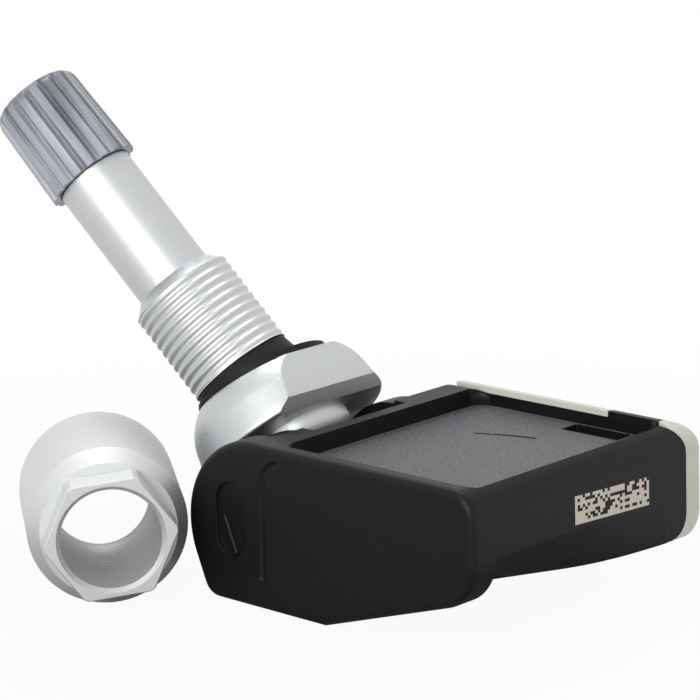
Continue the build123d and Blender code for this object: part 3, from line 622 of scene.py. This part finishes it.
# Turned brass: yellow, with an uneven gloss from the tool.
turned_brass, tree, shader, place = new_finish(
    "turned_brass", {"Base Color": linear(brass_yellow), "Metallic": 1.0})
marks = add_node(
    tree, "ShaderNodeTexNoise", {"Vector": place, "Scale": 1 / brass_mark, "Detail": 2})
gloss = add_node(
    tree, "ShaderNodeMapRange", {"Value": marks.outputs["Fac"], "To Min": 0.2, "To Max": 0.42})
tree.links.new(gloss.outputs["Result"], shader.inputs["Roughness"])
dress(turned_brass, "core_body", "core_plunger")
spring_coil = new_piece(
    "spring_coil", copied_form("core_spring"), ground_steel, "valve",
    ["core_spring"])
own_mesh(spring_coil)

# Dust cap: a ribbed thimble moulded in smoky plastic, which screws on the stem's tip
# over a flat rubber washer.
cap_start = 40.3 * mm
cap_end = 51.09 * mm
cap_skirt_radius = 4.98 * mm
cap_tip_radius = 4.72 * mm
cap_dome = 1.4 * mm
cap_bore_radius = 4.15 * mm
cap_ceiling = 50.09 * mm
cap_ribs = 18
rib_depth = 0.42 * mm
rib_share = 0.48
rib_wear = 0.1 * mm
rib_segments = 12
cap_steps = 8
axis_gap = 0.001 * mm
smoke_grey = "#43464d"
smoke_pale = "#b3b6c0"
smoke_cloud = 1.8 * mm
cloud_contrast = 1.5
streak_stretch = 0.15
# Smoky plastic, moulded: a lavender grey that lets some light through. Its grooves are painted
# darker than the ribs as painted shade, and the colour is cloudy along them.
smoked, tree, shader, place = new_finish(
    "smoked_plastic", {"Roughness": 0.28, "Transmission Weight": 0.08, "IOR": 1.49})
from_root = add_node(
    tree, "ShaderNodeVectorMath", {0: place, 1: stem_root}, operation="SUBTRACT")
on_axis = add_node(
    tree, "ShaderNodeVectorMath", {0: from_root.outputs["Vector"], 1: stem_along},
    operation="PROJECT")
off_axis = add_node(
    tree, "ShaderNodeVectorMath",
    {0: from_root.outputs["Vector"], 1: on_axis.outputs["Vector"]}, operation="SUBTRACT")
rib_height = add_node(
    tree, "ShaderNodeVectorMath", {0: off_axis.outputs["Vector"]}, operation="LENGTH")
along_share = add_node(
    tree, "ShaderNodeVectorMath", {0: on_axis.outputs["Vector"], "Scale": streak_stretch},
    operation="SCALE")
streak_place = add_node(
    tree, "ShaderNodeVectorMath",
    {0: off_axis.outputs["Vector"], 1: along_share.outputs["Vector"]}, operation="ADD")
cloud = add_node(
    tree, "ShaderNodeTexNoise",
    {"Vector": streak_place.outputs["Vector"], "Scale": 1 / smoke_cloud, "Detail": 3})
# Painted shade: the lower the surface lies between the ribs, the darker it is painted.
groove_shade_share = add_node(
    tree, "ShaderNodeMapRange",
    {"Value": rib_height.outputs["Value"], "From Min": cap_tip_radius - rib_depth,
     "From Max": cap_skirt_radius - rib_wear, "To Min": -0.5, "To Max": 0.05})
cloud_and_groove_shade = add_node(
    tree, "ShaderNodeMath",
    {0: cloud.outputs["Fac"], 1: cloud_contrast, 2: groove_shade_share.outputs["Result"]},
    operation="MULTIPLY_ADD", use_clamp=True)
smoke = add_node(
    tree, "ShaderNodeMix",
    {"Factor": cloud_and_groove_shade.outputs["Value"], "A": linear(smoke_grey), "B": linear(smoke_pale)},
    data_type="RGBA")
tree.links.new(smoke.outputs["Result"], shader.inputs["Base Color"])


def rib_cut(station, angle):
    """How deep the grooves between the cap's ribs are."""
    across_rib = abs((cap_ribs * angle / (2 * math.pi) + 0.5) % 1 - 0.5) / (rib_share / 2)
    return rib_depth * math.sqrt(max(0, 1 - across_rib * across_rib))


cap_outline = [(axis_gap, cap_end, 0)]
for step in range(cap_steps + 1):
    sweep = math.pi / 2 * step / cap_steps
    cap_outline.append((
        cap_tip_radius - cap_dome + cap_dome * math.sin(sweep),
        cap_end - cap_dome + cap_dome * math.cos(sweep),
        math.sin(sweep) ** 2,
    ))
for step in range(1, cap_steps + 1):
    share = step / cap_steps
    cap_outline.append((
        cap_tip_radius + (cap_skirt_radius - cap_tip_radius) * share,
        cap_end - cap_dome + (cap_start - cap_end + cap_dome) * share,
        1,
    ))
cap_outline += [
    (cap_bore_radius, cap_start, 0),
    (cap_bore_radius, cap_ceiling, 0),
    (axis_gap, cap_ceiling, 0),
]
cap_form = bmesh.new()
turn_on(cap_form, stem_axis, cap_outline, rib_segments * cap_ribs, rib_cut)
bmesh.ops.remove_doubles(cap_form, verts=cap_form.verts, dist=sliver)
bmesh.ops.recalc_face_normals(cap_form, faces=cap_form.faces)
new_piece("ribbed_cap", cap_form, smoked, "dust_cap", ["cap"])

# Clamping nut: turned and plated like the stem, a sleeve with a coned shoulder and a spanner
# hexagon, threaded inside. It is off the stem and lies beside the housing.
nut_turn = math.radians(52.3)
nut_along = Vector((math.cos(nut_turn), math.sin(nut_turn), 0))
nut_root = Vector((-9.12, 9.51, 7.9)) * mm
nut_radius = 7.9 * mm
nut_length = 14.7 * mm
nut_edge = 0.7 * mm
nut_ease = 0.12 * mm
nut_bore_radius = 4.95 * mm
cone_height = 1.6 * mm
cone_radius = 6.75 * mm
cone_slope = 1.4
hexagon_flat = 5.8 * mm
hexagon_corner = 6.55 * mm
hexagon_corner_at = math.radians(-5.6)
nut_front = -5.0 * mm
mouth_edge = 0.4 * mm
relief_radius = 6.3 * mm
relief_start = 10.4 * mm
nut_rows = 150
nut_segments = 144
nut_thread_depth = 0.15 * mm
nut_sharp_angle = math.radians(14)
nut_polish = 0.52
nut_silver = "#c6c8c9"
nut_bright = "#d5d6d6"
nut_axis = axis_frame(nut_root, nut_along)
nut_alloy = satin_alloy("plated_aluminium_nut", nut_along, nut_silver, nut_bright, nut_polish)


def hexagon_reach(station, angle):
    """How far the hexagon's side stands out beyond the middle of its flat."""
    across_side = (angle - hexagon_corner_at) % (math.pi / 3) - math.pi / 6
    return min(hexagon_flat / math.cos(across_side), hexagon_corner) - hexagon_flat


nut_outline = [
    (nut_bore_radius + mouth_edge, nut_front, 0),
    (hexagon_flat - nut_ease, nut_front, -1),
    (hexagon_flat, nut_front + nut_ease, -1),
    (hexagon_flat, -cone_height, -1),
    (cone_radius, -cone_height, 0),
    (nut_radius - nut_ease, -cone_slope * nut_ease, 0),
    (nut_radius, nut_ease, 0),
    (nut_radius, nut_length - nut_edge - nut_ease, 0),
    (nut_radius - nut_ease, nut_length - nut_edge + nut_ease, 0),
    (nut_radius - nut_edge, nut_length, 0),
    (relief_radius + nut_ease, nut_length, 0),
    (relief_radius, nut_length - nut_ease, 0),
    (relief_radius, relief_start, 0),
    (nut_bore_radius, relief_start, 0),
]
bore_outline = [(nut_bore_radius, relief_start, 0)]
for row in range(nut_rows, -1, -1):
    station = nut_front + mouth_edge + (relief_start - nut_front - mouth_edge) * row / nut_rows
    bore_outline.append((nut_bore_radius, station, -1))
bore_outline.append(nut_outline[0])
nut_thread = thread_cut(nut_front + mouth_edge, relief_start, thread_pitch, nut_thread_depth)
nut_form = bmesh.new()
turn_on(nut_form, nut_axis, nut_outline, nut_segments, hexagon_reach, hexagon_corner_at)
turn_on(nut_form, nut_axis, bore_outline, nut_segments, nut_thread, hexagon_corner_at)
bmesh.ops.remove_doubles(nut_form, verts=nut_form.verts, dist=same_spot)
bmesh.ops.recalc_face_normals(nut_form, faces=nut_form.faces)
new_piece("nut_turning", nut_form, nut_alloy, "sensor_body", ["nut"],
          nut_sharp_angle)

# Stage: a white floor that keeps a soft shadow, a white surround, and two large lamps. Metal
# mirrors the floor as shaded card close by and as plain white further off.
floor_reach = 3.0
shadow_start = 0.03
shadow_reach = 0.12
shadow_glow = 0.94
mirror_start = 0.045
mirror_full = 0.06
floor_white = "#b4b4b4"
surround_level = 0.5
floor_form = bmesh.new()
bmesh.ops.create_grid(floor_form, x_segments=1, y_segments=1, size=floor_reach)
floor_mesh = bpy.data.meshes.new("floor")
floor_form.to_mesh(floor_mesh)
floor_form.free()
floor = bpy.data.objects.new("floor", floor_mesh)
bpy.context.scene.collection.objects.link(floor)


def seen_by(tree, straight_share, mirrored_share):
    """How much of its own white a surface shows to the camera, straight or in metal or glass."""
    path = add_node(tree, "ShaderNodeLightPath", {})
    straight = add_node(
        tree, "ShaderNodeMath", {0: path.outputs["Is Camera Ray"], 1: straight_share},
        operation="MULTIPLY")
    mirrored = add_node(
        tree, "ShaderNodeMath",
        {0: path.outputs["Is Glossy Ray"], 1: path.outputs["Is Transmission Ray"]},
        operation="MAXIMUM")
    mirrored = add_node(
        tree, "ShaderNodeMath", {0: mirrored.outputs["Value"], 1: mirrored_share},
        operation="MULTIPLY")
    either = add_node(
        tree, "ShaderNodeMath", {0: straight.outputs["Value"], 1: mirrored.outputs["Value"]},
        operation="MAXIMUM")
    return either.outputs["Value"]


# Matt white card: it shines plain white to the camera and keeps a part of the shadow near
# the object.
card, tree, shader, place = new_finish(
    "matt_white_card", {"Base Color": linear(floor_white), "Roughness": 0.9,
                        "Specular IOR Level": 0.0})
distance = add_node(tree, "ShaderNodeVectorMath", {0: place}, operation="LENGTH")
glow_share = add_node(
    tree, "ShaderNodeMapRange",
    {"Value": distance.outputs["Value"], "From Min": shadow_start, "From Max": shadow_reach,
     "To Min": shadow_glow, "To Max": 1.0})
mirror_share = add_node(
    tree, "ShaderNodeMapRange",
    {"Value": distance.outputs["Value"], "From Min": mirror_start, "From Max": mirror_full})
glow_seen = seen_by(tree, glow_share.outputs["Result"], mirror_share.outputs["Result"])
glow = add_node(tree, "ShaderNodeEmission", {"Strength": 1.0})
card_mix = add_node(
    tree, "ShaderNodeMixShader",
    {0: glow_seen, 1: shader.outputs["BSDF"], 2: glow.outputs["Emission"]})
tree.links.new(card_mix.outputs["Shader"], tree.nodes["Material Output"].inputs["Surface"])
floor_mesh.materials.append(card)

world = bpy.data.worlds.new("white_surround")
bpy.context.scene.world = world
world.use_nodes = True
surround = world.node_tree.nodes["Background"]
surround.inputs["Color"].default_value = (1, 1, 1, 1)
surround_share = add_node(
    world.node_tree, "ShaderNodeMapRange",
    {"Value": seen_by(world.node_tree, 1.0, 1.0), "To Min": surround_level, "To Max": 1.0})
world.node_tree.links.new(surround_share.outputs["Result"], surround.inputs["Strength"])


def lamp(name, place, aim, size, power):
    """A square soft lamp that points at a spot."""
    light = bpy.data.lights.new(name, "AREA")
    light.size = size
    light.energy = power
    holder = bpy.data.objects.new(name, light)
    holder.location = place
    holder.rotation_euler = (aim - place).to_track_quat("-Z", "Y").to_euler()
    bpy.context.scene.collection.objects.link(holder)


object_middle = Vector((0.005, -0.005, 0.02))
key_place = Vector((-0.61, -0.27, 0.27))
key_power = 3.6
top_place = Vector((0.15, 0.25, 0.7))
top_power = 2.0
lamp_size = 0.4
lamp("key_lamp", key_place, object_middle, lamp_size, key_power)
lamp("top_lamp", top_place, object_middle, lamp_size, top_power)

# Camera: at the photograph's place, a little above the object and far from it, with a long
# lens that shows the far edges nearly as large as the near ones.
eye = Vector((-206.73, -216.64, 97.77)) * mm
look = Vector((0.69615, 0.67756, -0.23726)).normalized()
across = Vector((0.69109, -0.72197, -0.03404)).normalized()
sensor_width = 36
focal_pixels = 3200
picture_pixels = 700
lens = bpy.data.cameras.new("camera")
lens.sensor_width = sensor_width
lens.lens = sensor_width * focal_pixels / picture_pixels
camera = bpy.data.objects.new("camera", lens)
axes = Matrix((across, across.cross(look), -look)).transposed()
camera.matrix_world = Matrix.Translation(eye) @ axes.to_4x4()
bpy.context.scene.collection.objects.link(camera)
bpy.context.scene.camera = camera
bpy.context.scene.view_settings.view_transform = "Standard"
